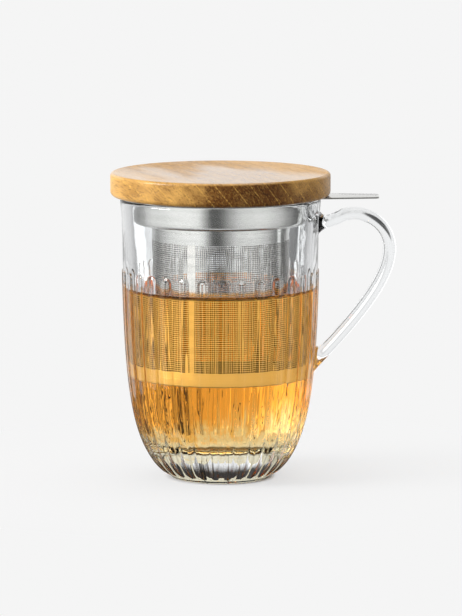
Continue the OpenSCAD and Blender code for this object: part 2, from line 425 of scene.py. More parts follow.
class Shader(Nodes):
    """A material with a Principled shader."""

    def __init__(self, name: str) -> None:
        """Starts a material that holds its shader, its output and the piece's own coordinates."""
        self.material = bpy.data.materials.new(name)
        self.material.use_nodes = True
        super().__init__(self.material.node_tree)
        self.tree.nodes.clear()
        self.output = self.node("ShaderNodeOutputMaterial")
        self.shader = self.node("ShaderNodeBsdfPrincipled")
        self.feed(self.output.inputs["Surface"], self.shader.outputs["BSDF"])
        self.place = self.node("ShaderNodeTexCoord").outputs["Object"]

    def set(self, **values: Feed) -> None:
        """Sets or links the shader's own sockets, with underscores for the spaces in their names."""
        for key, value in values.items():
            self.feed(self.shader.inputs[key.replace("_", " ").title().replace("Ior", "IOR")], value)

    def effect(self, effect: Effect, **values: Feed) -> bpy.types.bpy_prop_collection:
        """Places a shared effect on the piece's own coordinates.

        Args:
            effect: The effect.
            values: The effect's inputs apart from the place, in lower case.

        Returns:
            The effect's outputs.
        """
        tree = bpy.data.node_groups.get(effect.value) or BUILDERS[effect]()
        made = self.node("ShaderNodeGroup", node_tree=tree)
        self.feed(made.inputs["Place"], self.place)
        for key, value in values.items():
            self.feed(made.inputs[key.title()], value)
        return made.outputs

    def bump(self, height: Feed, depth: float) -> None:
        """Gives the surface a relief.

        Args:
            height: The relief, from 0 to 1.
            depth: What a height of 1 stands for, in millimetres.
        """
        made = self.node("ShaderNodeBump")
        made.inputs["Distance"].default_value = depth * MM
        self.feed(made.inputs["Height"], height)
        self.set(normal=made.outputs["Normal"])


@dataclass(frozen=True)
class ClearGlass:
    """Polished soda-lime glass: pressing streaks up the bowl, and creases where the hot handle is put on.

    Places and heights are in metres. Going up, the streaks fade in over streak_start, ease from streak_low
    to streak_share over streak_ease and fade out over streak_top. The handle, past streak_reach, has none.
    """

    name: str = "clear_glass"
    ior: float = 1.5
    tint: Colour = rgba(0.968, 0.98, 0.987)
    mark_size: float = 38.0
    clean: float = 0.0
    marked: float = 0.02
    ripple_size: float = 85.0
    ripple_share: float = 0.25
    streak_size: float = 620.0
    streak_length: float = 0.03
    streak_share: float = 0.24
    streak_low: float = 0.5
    streak_ease: Point = (0.044, 0.054)
    streak_start: Point = (0.009, 0.018)
    streak_top: Point = (0.086, 0.0905)
    streak_reach: Point = (0.0425, 0.0435)
    crease_size: float = 330.0
    crease_length: float = 0.3
    crease_depth: float = 0.35
    handle_root: Place = (0.0415, 0.0, 0.1085)
    root_height: float = 0.62
    root_reach: Point = (0.004, 0.0135)

    def material(self) -> Material:
        """Builds the glass."""
        made = Shader(self.name)
        marks = made.effect(Effect.MARKS, size=self.mark_size, clean=self.clean, marked=self.marked)
        made.set(base_color=self.tint, roughness=marks["Roughness"], ior=self.ior, transmission_weight=1.0)
        from_root = made.vector("SUBTRACT", made.place, self.handle_root)
        away = made.vector("LENGTH", made.stretch(from_root, 1.0, 1.0, self.root_height))
        drawn = made.stretch(made.place, 1.0, 1.0, self.crease_length)
        near = made.fade(away, *self.root_reach, 1.0, 0.0)
        crease = made.times(made.noise(drawn, self.crease_size, 1.0), near)
        streak = made.noise(made.stretch(made.place, 1.0, 1.0, self.streak_length), self.streak_size, 0.0)
        height = made.split(made.place)[2]
        depth = made.fade(height, *self.streak_ease, self.streak_low, self.streak_share)
        depth = made.times(depth, made.fade(height, *self.streak_start))
        depth = made.fade(height, *self.streak_top, depth, 0.0)
        depth = made.times(depth, made.fade(made.from_axis(made.place), *self.streak_reach, 1.0, 0.0))
        ripple = made.effect(Effect.RIPPLE, size=self.ripple_size)["Height"]
        made.bump(made.line(ripple, self.ripple_share, made.line(streak, depth, crease)), self.crease_depth)
        return made.material


@dataclass(frozen=True)
class Tea:
    """Clear amber tea: tinted at its surface, palest by the floor, darker the longer the way through it.

    Where the tea wets the glass, the glass bends the light for both, and the tea's own surface has an index
    of 1. Heights are in metres. Its paleness by the floor, reaching higher towards +X, is painted light,
    standing in for the light that the thick foot lets in from below, and tongues of the amber reach down
    into it.
    """

    name: str = "amber_tea"
    ior: float = 1.333
    amber: Colour = rgba(1.0, 0.58, 0.14)
    # painted light: the pale tint by the floor stands in for light that the thick foot lets in from below
    pale: Colour = rgba(1.0, 0.95, 0.75)
    painted_light_below: float = 0.017
    amber_above: float = 0.03
    tongue_size: float = 300.0
    tongue_width: float = 0.04
    tongue_height: float = 0.05
    painted_light_lean: float = 0.22
    swirl_size: float = 60.0
    swirl_depth: float = 0.02
    absorption: Colour = rgba(0.98, 0.7, 0.1)
    density: float = 24.0

    def material(self) -> Material:
        """Builds the tea."""
        made = Shader(self.name)
        x, _, z = made.split(made.place)
        upright = made.stretch(made.place, 1.0, 1.0, self.tongue_width)
        height = made.line(made.noise(upright, self.tongue_size, 2.0, 0.6), self.tongue_height, z)
        height = made.line(x, -self.painted_light_lean, height)
        middle = self.tongue_height / 2
        # Painted light: the tint pales below a wavy height that is higher towards +X.
        share = made.fade(height, self.painted_light_below + middle, self.amber_above + middle)
        made.set(base_color=made.blend(share, self.pale, self.amber), roughness=0.0, ior=self.ior)
        made.set(transmission_weight=1.0)
        made.bump(made.effect(Effect.RIPPLE, size=self.swirl_size)["Height"], self.swirl_depth)
        volume = made.node("ShaderNodeVolumeAbsorption")
        volume.inputs["Color"].default_value = self.absorption
        volume.inputs["Density"].default_value = self.density
        made.feed(made.output.inputs["Volume"], volume.outputs["Volume"])
        return made.material


@dataclass(frozen=True)
class SatinSteel:
    """Stainless steel with a fine grain and faint smears.

    Where a radius is set for it, faces nearer to the axis than that many metres take the inside's near-black
    colour: painted shade, standing in for the dark inside of the sleeve that shows through its holes.
    """

    name: str = "satin_steel"
    colour: Colour = rgba(0.64, 0.635, 0.61)
    shade: Colour = rgba(0.58, 0.575, 0.55)
    clean: float = 0.1
    marked: float = 0.17
    mark_size: float = 55.0
    grain_lines: float = 4200.0
    grain_depth: float = 0.004
    straight: float = 0.0
    painted_shade_radius: float = 0.0
    # painted shade: the near-black colour that the inner faces take
    inside: Colour = rgba(0.03, 0.027, 0.022)

    def material(self) -> Material:
        """Builds the steel."""
        made = Shader(self.name)
        grain = made.effect(Effect.GRAIN, lines=self.grain_lines, straight=self.straight)
        marks = made.effect(Effect.MARKS, size=self.mark_size, clean=self.clean, marked=self.marked)
        colour = made.blend(made.fade(grain["Shade"], 0.35, 0.65), self.shade, self.colour)
        # Painted shade: faces within the radius take the near-black inside colour, for the dark inside of
        # the sleeve.
        if self.painted_shade_radius:
            edge = 0.03 * MM
            radius = made.from_axis(made.place)
            outer = made.fade(radius, self.painted_shade_radius - edge, self.painted_shade_radius + edge)
            colour = made.blend(outer, self.inside, colour)
        made.set(base_color=colour, metallic=1.0, roughness=marks["Roughness"])
        made.bump(grain["Height"], self.grain_depth)
        return made.material


@dataclass(frozen=True)
class OiledWood:
    """Oiled hardwood: golden sapwood that turns brown, with pale ring lines, dark pores and a clear coat.

    across, along and beside are the tree's own directions in the lid, and depths are metres along across.
    The brown comes in over the first span and thins out again over sapwood: partly the wood's own heartwood,
    and partly painted shade, darker from the middle of the rim to the right, away from the key lamp on the
    left. It is weaker on the top. The coat is thick on the top, above waxed_from, and worn towards the back.
    """

    golden: Colour = rgba(0.74, 0.41, 0.11)
    brown: Colour = rgba(0.17, 0.058, 0.009)
    line: Colour = rgba(0.80, 0.45, 0.10)
    pore: Colour = rgba(0.07, 0.026, 0.006)
    fleck: Colour = rgba(0.85, 0.5, 0.12)
    # span where the brown comes in: heartwood, partly painted shade
    heartwood_and_shade: Point = (0.0425, 0.0675)
    sapwood: Point = (0.084, 0.104)
    heart_on_top: float = 0.35
    across: Place = (0.722, 0.287, 0.628)
    along: Place = (0.37, -0.929, 0.0)
    beside: Place = (0.583, 0.232, -0.778)
    sway_size: float = 22.0
    sway: float = 0.004
    cloud_size: float = 75.0
    cloud: float = 0.05
    ring_spacing: float = 0.0053
    line_share: float = 0.055
    break_size: float = 900.0
    fleck_size: float = 2700.0
    pore_size: float = 3000.0
    pore_depth: float = 0.05
    waxed_from: Point = (0.1288, 0.1298)
    bare_coat: float = 0.06
    wear_size: float = 32.0
    wear_lean: float = 4.5

    def material(self) -> Material:
        """Builds the wood."""
        made = Shader("oiled_wood")
        ways = (self.across, self.along, self.beside)
        across, along, beside = (made.vector("DOT_PRODUCT", made.place, way) for way in ways)
        lazy = made.join(across, made.times(along, 0.25), beside)
        sway = made.line(made.noise(lazy, self.sway_size, 1.0), self.sway, -self.sway / 2)
        depth = made.math("ADD", across, sway)
        _, y, z = made.split(made.place)
        on_top = made.fade(z, *self.waxed_from)
        cloudy = made.math("SUBTRACT", depth, self.cloud / 2)
        cloudy = made.line(made.noise(lazy, self.cloud_size, 3.0), self.cloud, cloudy)
        # Brown mask: partly the wood's own heartwood, partly painted shade on the middle and right of the
        # rim.
        heartwood_and_shade = made.times(made.fade(cloudy, *self.heartwood_and_shade), made.fade(cloudy, *self.sapwood, 1.0, 0.35))
        heartwood_and_shade = made.times(heartwood_and_shade, made.line(on_top, self.heart_on_top - 1, 1.0))
        colour = made.blend(heartwood_and_shade, self.golden, self.brown)
        ring = made.math("FRACT", made.math("DIVIDE", depth, self.ring_spacing))
        band = made.times(made.fade(ring, 0.55, 1.0, 0.0, 0.4), made.line(heartwood_and_shade, 0.7, 0.3))
        colour = made.blend(band, colour, self.brown)
        fibre = made.join(across, made.times(along, 0.06), made.times(beside, 0.35))
        streaks = made.noise(fibre, self.fleck_size, 3.0, 0.6)
        flecks = made.times(made.fade(streaks, 0.5, 0.62), made.line(heartwood_and_shade, 0.12, 0.16))
        colour = made.blend(flecks, colour, self.fleck)
        middle = made.math("ABSOLUTE", made.math("SUBTRACT", ring, 0.5))
        lines = made.fade(middle, self.line_share, self.line_share * 0.2)
        broken = made.fade(made.noise(made.place, self.break_size, 3.0, 0.7), 0.4, 0.6, 0.15, 0.85)
        colour = made.blend(made.times(lines, broken), colour, self.line)
        pores = made.fade(made.noise(made.vector("ADD", fibre, (3.0, 7.0, 1.0)), self.pore_size), 0.53, 0.63)
        colour = made.blend(made.times(pores, made.line(heartwood_and_shade, 0.7, 0.22)), colour, self.pore)
        marks = made.effect(Effect.MARKS, size=42.0, clean=0.36, marked=0.5)
        made.set(base_color=colour, roughness=marks["Roughness"])
        made.set(specular_ior_level=0.2, coat_roughness=0.13)
        worn = made.line(y, self.wear_lean, made.noise(lazy, self.wear_size, 3.0, 0.55))
        waxed = made.line(on_top, 1 - self.bare_coat, self.bare_coat)
        made.set(coat_weight=made.times(waxed, made.fade(worn, 0.45, 0.66, 1.0, 0.12)))
        made.bump(made.math("SUBTRACT", made.times(streaks, 0.4), made.times(pores, 0.8)), self.pore_depth)
        return made.material


@dataclass(frozen=True)
class Silicone:
    """Milky silicone with a little dust on it."""

    clear: Colour = rgba(0.74, 0.74, 0.71)
    dusty: Colour = rgba(0.86, 0.855, 0.83)

    def material(self) -> Material:
        """Builds the silicone."""
        made = Shader("milky_silicone")
        marks = made.effect(Effect.MARKS, size=160.0, clean=0.42, marked=0.62)
        made.set(base_color=made.blend(marks["Marks"], self.clear, self.dusty), roughness=marks["Roughness"])
        made.set(subsurface_weight=0.25, subsurface_scale=0.002)
        made.bump(made.effect(Effect.RIPPLE, size=420.0)["Height"], 0.03)
        return made.material


# ---- Glass mug -------------------------------------------------------------------------------------


@dataclass
class GlassMug:
    """The pressed glass body with its ribs and its handle, fused into one piece of glass.

    The bowl's and the neck's pulls shape their curves: how far in, in millimetres or for the bowl's lower
    one as a share of the span from foot to belly, and how high, as a share of their own height. The handle's
    pulls are offsets in millimetres. Fillets and their reaches are for the outer and the inner side of the
    handle. The spacings are the longest stretches of the outline: on the walls, in the bore and at the ribs'
    heads, where the finer ones reach a distance up and down from a drop below the ribs' tops. rib_foot is a
    foot's length as a share of half the rib's width. A face is wet when its middle lies within the slack out
    from the bore and under the floor.
    """

    rim_height: float = 119.4
    rim_radius: float = 42.5
    belly_radius: float = 41.35
    foot_radius: float = 21.0
    foot_round: float = 0.6
    foot_ring: float = 2.6
    foot_recess: float = 0.5
    bowl_height: float = 88.0
    bowl_low_pull: Point = (0.78, 0.11)
    bowl_high_pull: Point = (1.1, 0.4)
    neck_low_pull: Point = (0.05, 0.35)
    neck_high_pull: Point = (0.9, 0.7)
    rim_wall: float = 5.2
    rim_round: float = 1.5
    bore_draft: float = 3.2
    floor_height: float = 14.6
    bore_corner: float = 17.0
    rib_count: int = 32
    rib_turn: float = 1.0
    rib_top: float = 89.2
    rib_low: float = 2.6
    rib_foot: float = 0.7
    ridge_height: float = 0.42
    ridge_share: float = 0.52
    flute_depth: float = 0.05
    least_wall: float = 1.5
    wall_spacing: float = 3.0
    bore_spacing: float = 5.0
    head_spacing: float = 0.42
    head_drop: float = 1.2
    head_reach: float = 2.8
    columns: tuple[float, ...] = (0.0, 0.06, 0.115, 0.16, 0.195, 0.222, 0.242, 0.262, 0.31, 0.5)
    handle_drop: float = 6.9
    handle_radius: float = 15.0
    handle_reach: float = 71.5
    handle_foot: float = 49.0
    handle_slope: float = 47.1
    handle_thickness: float = 5.5
    handle_width: float = 10.5
    bend: Point = (104.0, 6.0)
    start_pull: float = 8.0
    top_pull: Point = (1.94, 0.48)
    back_pull: Point = (1.26, 12.0)
    foot_pull: float = 25.3
    upper_root_drop: float = 4.1
    lower_root_length: float = 6.0
    upper_fillet: Point = (2.6, 1.8)
    lower_fillet: Point = (0.0, 6.8)
    upper_reach: Point = (3.0, 3.0)
    lower_reach: Point = (4.0, 7.5)
    side_fillet: float = 1.0
    fusion_depth: float = 2.4
    wet_below: float = 81.4
    wet_slack: Point = (0.1, 0.5)
    finish: ClearGlass = ClearGlass()
    wet_finish: ClearGlass = ClearGlass("wet_glass", 1.5 / 1.333, streak_share=0.0, streak_low=0.0)

    def bore_radius(self, z: float) -> float:
        """Radius of the drafted bore at a height."""
        draft = math.tan(math.radians(self.bore_draft))
        return self.rim_radius - self.rim_wall - (self.rim_height - z) * draft

    def outside(self) -> list[Point]:
        """Outline of the outside, from the middle of the foot to the start of the rim."""
        span = self.belly_radius - self.foot_radius
        rise = self.rim_height - self.bowl_height
        (low_in, low_up), (high_in, high_up) = self.bowl_low_pull, self.bowl_high_pull
        belly = (self.belly_radius, self.bowl_height)
        bowl = [
            (self.foot_radius, self.foot_round),
            (self.foot_radius + low_in * span, low_up * self.bowl_height),
            (self.belly_radius - high_in, high_up * self.bowl_height),
            belly,
        ]
        (low_out, low_up), (high_in, high_up) = self.neck_low_pull, self.neck_high_pull
        neck = [
            belly,
            (self.belly_radius + low_out, self.bowl_height + low_up * rise),
            (self.rim_radius - high_in, self.bowl_height + high_up * rise),
            (self.rim_radius, self.rim_height - self.rim_round),
        ]
        ring = self.foot_radius - self.foot_round - self.foot_ring
        foot = [(0.0, self.foot_recess), (ring - 2 * self.foot_recess, self.foot_recess), (ring, 0.0)]
        return foot + [(self.foot_radius - self.foot_round, 0.0)] + bezier(bowl, 42) + bezier(neck, 12)[1:]

    def outside_radius(self, z: float) -> float:
        """Radius of the outside between ridge and flute at a height."""
        points = self.outside()[4:]
        for a, b in zip(points, points[1:]):
            if a[1] <= z <= b[1]:
                return a[0] + (b[0] - a[0]) * (z - a[1]) / (b[1] - a[1])
        return points[-1][0]

    def corner_centre(self) -> Point:
        """Centre of the rounding between the bore and the floor."""
        height = self.floor_height + self.bore_corner
        return (self.bore_radius(height) - self.bore_corner, height)

    def bore(self) -> list[Point]:
        """Outline of the bore, from the rim's lip down to the middle of the floor."""
        lip_z = self.rim_height - self.rim_round
        lip = arc((self.bore_radius(lip_z) + self.rim_round, lip_z), self.rim_round, 90, 180, 6)
        contact = [(self.bore_radius(self.wet_below), self.wet_below)]
        corner = arc(self.corner_centre(), self.bore_corner, -self.bore_draft, -90, 26)
        return lip + contact + corner + [(0.0, self.floor_height)]

    def outline(self) -> list[Point]:
        """The whole section of the glass, from the middle of the foot to the middle of the floor."""
        rim_centre = (self.rim_radius - self.rim_round, self.rim_height - self.rim_round)
        rim = arc(rim_centre, self.rim_round, 8, 90, 6)

        def spacing(point: Point) -> float:
            """Finer stretches round the tops of the ribs than elsewhere."""
            if point[0] < self.bore_radius(point[1]) + 1 and point[1] > self.floor_height:
                return self.bore_spacing
            at_heads = abs(point[1] - self.rib_top + self.head_drop) < self.head_reach
            return self.head_spacing if at_heads else self.wall_spacing

        return densify(self.outside() + rim + self.bore(), spacing)

    def relief(self, angle: float, radius: float, height: float) -> float:
        """How far a point of the outside stands out of the smooth bowl.

        Args:
            angle: Angle about the axis in radians.
            radius: The point's radius in millimetres.
            height: The point's height in millimetres.

        Returns:
            A height in millimetres, below zero in a flute.
        """
        pitch = math.tau / self.rib_count
        turn = (angle - math.radians(self.rib_turn) + math.pi / 2) / pitch
        u = turn - round(turn)
        total = 0.0
        for offset, share, high, power in (
            (abs(u), self.ridge_share, self.ridge_height, 2),
            (0.5 - abs(u), 1 - self.ridge_share, -self.flute_depth, 1),
        ):
            half = pitch * share / 2 * radius
            along = max(0.0, height - (self.rib_top - half), (self.rib_low + half * self.rib_foot) - height)
            q2 = ((offset * pitch * radius) ** 2 + along**2) / half**2
            total += high * max(0.0, 1 - q2**power)
        return total

    def crowd_columns(self, bm: Mesh) -> None:
        """Turns a column up the middle of each rib, and crowds the rest at the ribs' edges."""
        pitch = math.tau / self.rib_count
        start = math.radians(self.rib_turn) - math.pi / 2
        last = len(self.columns) - 1
        for vert in bm.verts:
            radius = math.hypot(vert.co.x, vert.co.y)
            if radius > 0:
                steps = math.atan2(vert.co.y, vert.co.x) / pitch
                u = steps - round(steps)
                place = math.copysign(self.columns[round(abs(u) * 2 * last)], u)
                angle = start + (round(steps) + place) * pitch
                vert.co.x, vert.co.y = radius * math.cos(angle), radius * math.sin(angle)

    def press_ribs(self, bm: Mesh) -> None:
        """Moves the outside of the bowl in and out, so that ridges and flutes run round it."""
        bm.normal_update()
        moves = []
        for vert in bm.verts:
            radius, height = math.hypot(vert.co.x, vert.co.y) / MM, vert.co.z / MM
            low = height < self.floor_height and radius > self.foot_radius - self.foot_round + 0.1
            outside = low or radius >= self.bore_radius(height) + self.least_wall
            if outside and self.foot_round / 2 <= height <= self.rib_top + 1:
                angle = math.atan2(vert.co.y, vert.co.x)
                moves.append((vert, vert.normal * self.relief(angle, radius, height) * MM))
        for vert, move in moves:
            vert.co += move

    def handle_line(self) -> list[Point]:
        """Centre line of the handle in the plane y = 0, from its upper end to its lower end."""
        top = self.rim_height - self.handle_drop
        centre = (self.handle_reach - self.handle_radius, top - self.handle_radius)
        bend = arc(centre, self.handle_radius, *self.bend, 24)
        first, last = bend[0], bend[-1]
        root_z = top - self.upper_root_drop
        start = (self.outside_radius(root_z) - self.fusion_depth, root_z)
        over = [
            start,
            (start[0] + self.start_pull, start[1]),
            (first[0] - self.top_pull[0], first[1] - self.top_pull[1]),
            first,
        ]
        slope = (math.cos(math.radians(self.handle_slope)), math.sin(math.radians(self.handle_slope)))

        def down_the_slope(begin: Point, reach: float) -> Point:
            """A point at a distance along the handle's straight lower end."""
            return (begin[0] + reach * slope[0], begin[1] + reach * slope[1])

        wall = (self.outside_radius(self.handle_foot), self.handle_foot)
        low = down_the_slope(wall, self.lower_root_length)
        end = down_the_slope(wall, -self.fusion_depth / slope[0])
        back = (last[0] + self.back_pull[0], last[1] - self.back_pull[1])
        run = [last, back, down_the_slope(low, self.foot_pull), low]
        steps = 14
        root = [
            (low[0] + (end[0] - low[0]) * i / steps, low[1] + (end[1] - low[1]) * i / steps)
            for i in range(1, steps + 1)
        ]
        return bezier(over, 20)[:-1] + bend + bezier(run, 26)[1:] + root

    def handle_mesh(self, sides: int = 48) -> Mesh:
        """Sweeps an elliptical section along the handle's line.

        The tube is extruded upright first, one unit a ring, and each ring is then carried to its place. The
        section is upright where it meets the glass and square to the line elsewhere.

        Args:
            sides: Number of faces round the handle.

        Returns:
            A closed mesh in metres with a fillet at both ends.
        """
        path = self.handle_line()
        walked = [0.0]
        for a, b in zip(path, path[1:]):
            walked.append(walked[-1] + math.dist(a, b))
        bm = bmesh.new()
        ring = bmesh.ops.create_circle(bm, cap_ends=True, segments=sides, radius=1.0)["verts"]
        edges = list({edge for vert in ring for edge in vert.link_edges})
        for _ in path[1:]:
            grown = bmesh.ops.extrude_edge_only(bm, edges=edges)["geom"]
            bmesh.ops.translate(bm, vec=(0, 0, 1), verts=new_verts(grown))
            edges = [item for item in grown if isinstance(item, bmesh.types.BMEdge)]
        bmesh.ops.contextual_create(bm, geom=edges)

        def share(past: float, reach: float) -> float:
            """Share of a fillet at a distance from the glass."""
            return min(1.0, max(0.0, 1 - past / reach)) ** 2

        for vert in bm.verts:
            i = round(vert.co.z)
            a, b = path[max(i - 1, 0)], path[min(i + 1, len(path) - 1)]
            step = math.dist(a, b)
            dx, dz = (b[0] - a[0]) / step, (b[1] - a[1]) / step
            if walked[i] < walked[-1] / 2:
                past, sign = walked[i] - self.fusion_depth, 1
                fillets, reach = self.upper_fillet, self.upper_reach
            else:
                sunk = self.fusion_depth / math.cos(math.radians(self.handle_slope))
                past, sign = walked[-1] - walked[i] - sunk, -1
                fillets, reach = self.lower_fillet, self.lower_reach
            across, deep = vert.co.xy
            side = 0 if across > 0 else 1
            upright = share(past, self.lower_reach[1])
            u = self.handle_thickness / 2 * across
            lift = sign * fillets[side] * share(past, reach[side]) * across
            vert.co = Vector((
                path[i][0] - (1 - upright) * dz * u,
                (self.handle_width / 2 + self.side_fillet * share(past, reach[0])) * deep,
                path[i][1] + ((1 - upright) * dx + upright / dx) * u + lift,
            )) * MM
        bmesh.ops.recalc_face_normals(bm, faces=bm.faces)
        return bm

    def build(self) -> Piece:
        """Presses the body, fuses the handle to it and dresses the glass."""
        bm = revolve(self.outline(), self.rib_count * 2 * (len(self.columns) - 1))
        self.crowd_columns(bm)
        self.press_ribs(bm)
        glass = finish_mesh(bm, "glass_mug", 60)
        handle = finish_mesh(self.handle_mesh(), "handle_tool", 60)
        union = glass.modifiers.new("fuse", "BOOLEAN")
        union.operation = "UNION"
        union.solver = "EXACT"
        union.object = handle
        settle(glass)
        bpy.data.objects.remove(handle)
        dress(glass, self.finish.material(), Body.MUG, Slot.GLASS, "glass_body", "glass_handle")
        glass.data.materials.append(self.wet_finish.material())
        out, under = self.wet_slack
        for face in glass.data.polygons:
            radius, height = math.hypot(face.center.x, face.center.y) / MM, face.center.z / MM
            in_bore = self.floor_height - under < height and radius < self.bore_radius(height) + out
            if in_bore and height < self.wet_below:
                face.material_index = 1
        return glass


@dataclass
class Brew:
    """The tea in the mug. It reaches a hair into the glass, so that no air shows between the two."""

    mug: GlassMug
    level: float = 79.6
    meniscus_width: float = 3.4
    meniscus_steps: tuple[float, ...] = (0.0, 0.05, 0.1, 0.17, 0.25, 0.35, 0.5, 0.7, 1.0)
    meniscus_power: float = 2.6
    overlap: float = 0.1
    columns: int = 160
    finish: Tea = Tea()
    side_finish: Tea = Tea("amber_tea_side", 1.0)

    def build(self) -> Piece:
        """Fills the bore up to the level."""
        mug = self.mug
        wall_r = mug.bore_radius(mug.wet_below)
        climb = mug.wet_below - self.level
        outline = [(0.0, mug.floor_height - self.overlap)]
        outline += arc(mug.corner_centre(), mug.bore_corner + self.overlap, -90, -mug.bore_draft, 26)
        outline.append((wall_r + self.overlap, mug.wet_below))
        for t in self.meniscus_steps:
            radius = wall_r - self.overlap - self.meniscus_width * t
            outline.append((radius, self.level + climb * (1 - t) ** self.meniscus_power))
        outline.append((0.0, self.level))
        tea = finish_mesh(revolve(densify(outline, lambda point: 3.0), self.columns), "tea", 60)
        dress(tea, self.finish.material(), Body.MUG, Slot.GLASS)
        tea.data.materials.append(self.side_finish.material())
        for face in tea.data.polygons:
            face.material_index = int(face.normal.z < 0.02)
        return tea


# ---- Infuser ---------------------------------------------------------------------------------------


@dataclass
class Infuser:
    """The steel infuser: collar, lifting tab, perforated sleeve and closed base."""

    top: float = 120.0
    steel: float = 0.6
    sheet: float = 0.3
    slip: float = 0.03
    flange_radius: float = 43.0
    collar_radius: float = 36.39
    collar_depth: float = 11.0
    collar_corner: float = 2.2
    bend: float = 1.2
    sleeve_radius: float = 29.1
    sleeve_bottom: float = 43.0
    base_height: float = 3.2
    base_round: float = 0.5
    bead_height: float = 1.8
    seam: float = 0.25
    neck_height: float = 4.0
    tab_length: float = 23.9
    tab_root: float = 19.5
    tab_end: float = 13.5
    tab_corner: float = 1.6
    tab_weld: float = 0.25
    tab_edge: float = 0.12
    hole_pitch: float = 0.86
    hole_side: float = 0.49
    hole_rows: int = 62
    wet_rows: int = 36
    hole_first: float = 49.3
    strip_angle: float = -23.7
    strip_width: float = 3.7
    collar_columns: int = 256
    sleeve_columns: int = 212
    finish: SatinSteel = SatinSteel()
    tab_finish: SatinSteel = SatinSteel("brushed_tab", straight=1.0)
    # Both sheets paint shade on their inner faces: the last argument is the radius within which they turn
    # near-black.
    sheet_finish: SatinSteel = SatinSteel(
        "etched_sheet", rgba(0.71, 0.69, 0.65), rgba(0.62, 0.605, 0.57), 0.2, 0.26, painted_shade_radius=0.02905
    )
    wet_finish: SatinSteel = SatinSteel(
        "wet_sheet", rgba(0.82, 0.8, 0.76), rgba(0.74, 0.72, 0.68), 0.4, 0.46, painted_shade_radius=0.02905
    )

    def collar(self) -> Piece:
        """The drawn collar with its flange, rounded lower edge, step and neck."""
        t = self.steel
        bottom = self.top - self.collar_depth
        bend = (self.collar_radius + self.bend, self.top - t - self.bend)
        edge = (self.collar_radius - self.collar_corner, bottom + self.collar_corner)
        neck = self.sleeve_radius - self.sheet - self.slip
        bead = bottom - self.bead_height
        neck_end = bead - self.neck_height
        outline = (
            arc((self.flange_radius - t / 2, self.top - t / 2), t / 2, 80, -80, 6)
            + arc(bend, self.bend, 90, 180, 8)
            + arc(edge, self.collar_corner, 0, -90, 10)
            + [(self.sleeve_radius, bottom), (self.sleeve_radius, bead), (neck, bead), (neck, neck_end)]
            + [(neck - t, neck_end), (neck - t, bottom + t)]
            + arc(edge, self.collar_corner - t, -90, 0, 8)
            + arc(bend, self.bend + t, 180, 90, 8)
        )
        return turned("infuser_collar_steel", outline, self.collar_columns, 3.0, closed=True)

    def tab(self) -> Piece:
        """The flat lifting tab, welded to the flange's edge."""
        bm = bmesh.new()
        reach = self.flange_radius + self.tab_length
        root = math.degrees(math.asin(self.tab_root / 2 / self.flange_radius))
        corner = self.tab_corner
        half = self.tab_end / 2 - corner
        outline = (
            arc((0, 0), self.flange_radius - self.tab_weld, root, -root, 12)
            + arc((reach - corner, -half), corner, -90, 0, 6)
            + arc((reach - corner, half), corner, 0, 90, 6)
        )
        verts = [bm.verts.new((x * MM, y * MM, (self.top - self.steel) * MM)) for x, y in outline]
        grown = bmesh.ops.extrude_face_region(bm, geom=[bm.faces.new(verts)])["geom"]
        bmesh.ops.translate(bm, vec=(0, 0, self.steel * MM), verts=new_verts(grown))
        bmesh.ops.recalc_face_normals(bm, faces=bm.faces)
        rims = [e for e in bm.edges if abs(e.verts[0].co.z - e.verts[1].co.z) < 1e-7]
        bmesh.ops.bevel(
            bm, geom=rims, offset=self.tab_edge * MM, offset_type="OFFSET", segments=2, profile=0.5,
            affect="EDGES", material=-1, clamp_overlap=True,
        )
        return finish_mesh(bm, "lift_tab_steel", 40)

    def sleeve_band(self, name: str, low: float, high: float) -> Piece:
        """A plain stretch of the sleeve's sheet between two heights."""
        r = self.sleeve_radius
        outline = [(r, low), (r, high), (r - self.sheet, high), (r - self.sheet, low)]
        return turned(name, outline, self.sleeve_columns, 4.0, closed=True)

    def perforated(self, name: str, first_row: int, rows: int) -> Piece:
        """A stretch of the sleeve with a square hole in each cell, apart from the plain strip.

        Args:
            name: The piece's name.
            first_row: The lowest row of holes in this stretch, counted from the bottom.
            rows: Number of rows of holes.

        Returns:
            The piece, with the sheet's thickness.
        """
        radius = self.sleeve_radius
        columns = round(math.tau * radius / self.hole_pitch)
        low = self.hole_first + (first_row - 0.5) * self.hole_pitch
        start = math.radians(-90 + self.strip_angle)
        bm = revolve([(radius, low + i * self.hole_pitch) for i in range(rows + 1)], columns, start=start)
        cells = []
        for face in bm.faces:
            middle = face.calc_center_median()
            angle = (math.atan2(middle.y, middle.x) - start + math.pi) % math.tau - math.pi
            if abs(angle) * radius > self.strip_width / 2:
                cells.append(face)
        bmesh.ops.inset_individual(bm, faces=cells, thickness=(self.hole_pitch - self.hole_side) / 2 * MM)
        bmesh.ops.delete(bm, geom=cells, context="FACES")
        bmesh.ops.solidify(bm, geom=bm.faces, thickness=self.sheet * MM)
        return finish_mesh(bm, name, 35)

    def base(self) -> Piece:
        """The shallow cup that closes the sleeve."""
        low, high = self.sleeve_bottom, self.sleeve_bottom + self.base_height
        r = self.sleeve_radius + self.slip
        out = r + self.sheet
        inner_round = self.base_round - self.sheet
        outline = (
            [(0.0, low)]
            + arc((out - self.base_round, low + self.base_round), self.base_round, -90, 0, 4)
            + [(out, high), (r, high)]
            + arc((r - inner_round, low + self.base_round), inner_round, 0, -90, 3)
            + [(0.0, low + self.sheet)]
        )
        return turned("strainer_base_steel", outline, self.sleeve_columns, 3.0)

